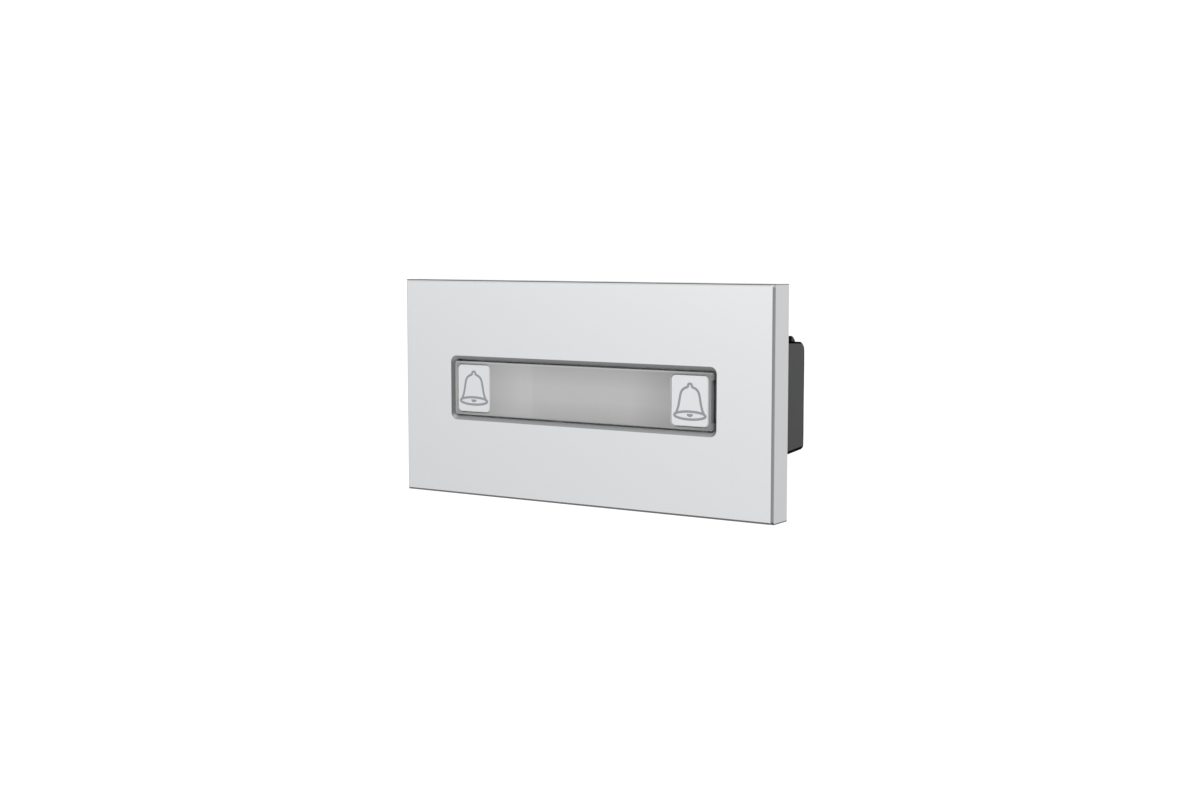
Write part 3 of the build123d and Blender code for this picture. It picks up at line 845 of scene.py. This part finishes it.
# ---------------------------------------------------------------------------
# Link sockets: two shrouded sockets in ivory nylon that reach through the
# housing, each with six gold-plated contacts along its upper wall.
# ---------------------------------------------------------------------------
nylon = moulded(
    "ivory_nylon", (0.60, 0.57, 0.47), (0.66, 0.63, 0.53), 0.45, 0.3 * mm, 0.01 * mm
)
gold = bright_metal("gold_plate", (0.80, 0.56, 0.20), (0.90, 0.66, 0.28), (0.2, 0.32), 0.4 * mm)
for side in ("in", "out"):
    coat(f"{side}_socket", nylon)
    coat(f"{side}_socket_contacts", gold)


# ---------------------------------------------------------------------------
# Rear housing: one drafted moulding in dark grey plastic with an even grain,
# screwed to the plate by its flange. The edges of its ends and the tops of its
# lugs are darker, as painted shade.
# ---------------------------------------------------------------------------
housing_plastic, tree, shader, place = new_finish("dark_housing_plastic")
place_x, place_y, place_z = axes(tree, place)
sideways = absolute(tree, facing(tree)[0])
on_end = ranged(tree, sideways, 0.0, 1.0, 0.9, 0.95)
at_end = ranged(tree, absolute(tree, place_x), 0.0, 1.0, 42.0 * mm, 42.2 * mm)
off_slope = absolute(tree, total(tree, sideways, -bevel_facing))
on_edge = product(tree, ranged(tree, off_slope, 1.0, 0.0, 0.1, 0.2), at_end)
# the walls lean in towards the back by their mould draft of 3 degrees
draft_slope = 0.0524
draft = product(tree, place_y, draft_slope)
from_top = total(tree, place_z, draft)
from_bottom = calculated(tree, "SUBTRACT", place_z, draft)
# painted shade: the end faces darken along their upper and lower edges and at the back
low_band = ranged(tree, from_bottom, 0.95, 0.0, -12.42 * mm, -12.34 * mm)
top_band = product(
    tree,
    ranged(tree, from_top, 0.0, 0.95, 12.68 * mm, 12.74 * mm),
    ranged(tree, from_top, 1.0, 0.0, 13.12 * mm, 13.20 * mm),
)
end_bands = product(tree, calculated(tree, "MAXIMUM", low_band, top_band), on_end)
rear_band = product(
    tree,
    ranged(tree, place_y, 0.0, 0.9, 18.7 * mm, 18.9 * mm),
    ranged(tree, sideways, 0.0, 1.0, 0.6, 0.8),
)
for band in (end_bands, rear_band):
    on_edge = calculated(tree, "MAXIMUM", on_edge, band)
on_edge = product(tree, on_edge, at_end)
# painted shade: a lug is dark on its side in front and along its rim
on_lug = product(
    tree,
    ranged(tree, from_top, 0.0, 0.95, 13.14 * mm, 13.18 * mm),
    ranged(tree, sideways, 0.3, 1.0, 0.75, 0.9),
    ranged(tree, place_y, 1.0, 0.1, 13.4 * mm, 13.9 * mm),
)
lug_rim = product(
    tree,
    ranged(tree, place_z, 0.0, 0.9, 13.36 * mm, 13.42 * mm),
    ranged(tree, sideways, 0.0, 1.0, 0.2, 0.6),
)
painted_shade_share = calculated(tree, "MAXIMUM", on_edge, calculated(tree, "MAXIMUM", on_lug, lug_rim))
# all of it only behind the plate
painted_shade_share = product(tree, painted_shade_share, ranged(tree, place_y, 0.0, 1.0, 0.2 * mm, 0.4 * mm))
# painted light: the housing is lighter towards the top, with a cloudy tone
painted_light_and_mottle = total(
    tree,
    ranged(tree, place_z, 0.0, 0.8, -12.5 * mm, 12.5 * mm),
    ranged(tree, grain(tree, place, 12 * mm), 0.0, 0.2),
)
flat_tone = mixed(tree, painted_light_and_mottle, (0.0315, 0.0315, 0.032), (0.0415, 0.0415, 0.042))
coloured(tree, shader, painted_shade_share, flat_tone, (0.006, 0.006, 0.006))
# the painted-shade edges get no plastic gloss, or they would shine in the white room
tree.links.new(painted_shade_share, shader.inputs["Metallic"])
shader.inputs["Specular Tint"].default_value = (0.1, 0.1, 0.1, 1)
shader.inputs["Specular IOR Level"].default_value = 0.25
spark = grain(tree, place, 0.4 * mm, 3)
roughened(tree, shader, spark, 0.48, 0.6)
bumps(tree, shader, spark, 0.02 * mm)
coat("rear_housing", housing_plastic)


# ---------------------------------------------------------------------------
# Chain marks: low arrows moulded on the housing's back. Two show the way of the
# cable, from the socket that it comes in at to the other, and one points up.
# ---------------------------------------------------------------------------
back_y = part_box("rear_housing")[1].y
shaft_width, shaft_length, shaft_end = 0.9 * mm, 3.6 * mm, 0.7 * mm
arrow_relief = 0.2 * mm
barb_spread, tip_spread = 3.4, 0.08
# the shaft, half sunk in the wall, then the barbs and the tip drawn out of its end
arrow_form = block(
    (0, back_y, shaft_end - shaft_length / 2), (shaft_width, 2 * arrow_relief, shaft_length)
)
chosen(arrow_form, "FACE", lambda face: face.normal.z > 0.9)
for length, spread in ((0.2 * mm, barb_spread), (2.2 * mm, tip_spread)):
    drawn_out(0, 0, length)
    bpy.ops.transform.resize(value=(spread, 1, 1), center_override=(0, back_y, shaft_end))
bpy.ops.object.mode_set(mode="OBJECT")
rounding = arrow_form.modifiers.new("rounding", "BEVEL")
rounding.width = 0.05 * mm
rounding.segments = 2
rounding.limit_method = "ANGLE"
bpy.ops.object.modifier_apply(modifier="rounding")
dressed(arrow_form, housing_plastic, 20)
arrow_reach = 37.4 * mm
for name, x, turn in (
    ("in_arrow", -arrow_reach, 90),
    ("out_arrow", arrow_reach, 90),
    ("up_arrow", 0, 0),
):
    arrow = copied(arrow_form, name, (x, 0, 0), turn)
    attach(arrow, "module")
bpy.data.objects.remove(arrow_form)


# ---------------------------------------------------------------------------
# Screws: zinc-plated steel with domed heads and a cross recess. Four hold the
# housing's flange to the plate, and two the board to the carrier.
# ---------------------------------------------------------------------------
zinc = bright_metal(
    "zinc_plate", (0.50, 0.50, 0.49), (0.64, 0.64, 0.63), (0.28, 0.42), 0.5 * mm, 0.008 * mm
)

arm_width = 0.5 * mm
recess_depth = 0.62 * mm
for node, head_radius, shank_radius, head_height, recess_reach in (
    ("housing_screws", 2.25 * mm, 1.25 * mm, 1.0 * mm, 2.4 * mm),
    ("board_screws", 1.9 * mm, 1.0 * mm, 1.2 * mm, 2.2 * mm),
):
    low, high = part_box(node)
    seat = high.y - head_height
    # a plain shank, then the domed head with its flat underside, from the tip to the crown
    screw_form = turned((
        (low.y, shank_radius * 0.8), (low.y + 0.25 * mm, shank_radius), (seat, shank_radius),
        (seat + 0.001 * mm, head_radius), (seat + head_height * 0.35, head_radius),
        (seat + head_height * 0.6, head_radius * 0.955),
        (seat + head_height * 0.82, head_radius * 0.83),
        (seat + head_height * 0.95, head_radius * 0.6), (seat + head_height, head_radius * 0.3),
    ))
    # two tapered arms cut the driver's cross
    for arm_x, arm_z in ((recess_reach, arm_width), (arm_width, recess_reach)):
        arm = block((0, high.y, 0), (arm_x, 2 * recess_depth, arm_z))
        chosen(arm, "FACE", lambda face: face.normal.y < -0.9)
        bpy.ops.transform.resize(
            value=(0.55, 1, 0.55), center_override=(0, high.y - recess_depth, 0)
        )
        bpy.ops.object.mode_set(mode="OBJECT")
        cut_out(screw_form, arm)
        bpy.data.objects.remove(arm)
    dressed(screw_form, zinc)
    # the board's two screws stand in one row, and the housing's four in two
    rows = (low.z + head_radius, high.z - head_radius)
    if high.z - low.z < 3 * head_radius:
        rows = ((low.z + high.z) / 2,)
    spots = [(x, z) for x in (low.x + head_radius, high.x - head_radius) for z in rows]
    for number, (x, z) in enumerate(spots, 1):
        screw = copied(screw_form, f"{node[:-1]}_{number}", (x, 0, z))
        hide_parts(node)
        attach(screw, "module")
    bpy.data.objects.remove(screw_form)
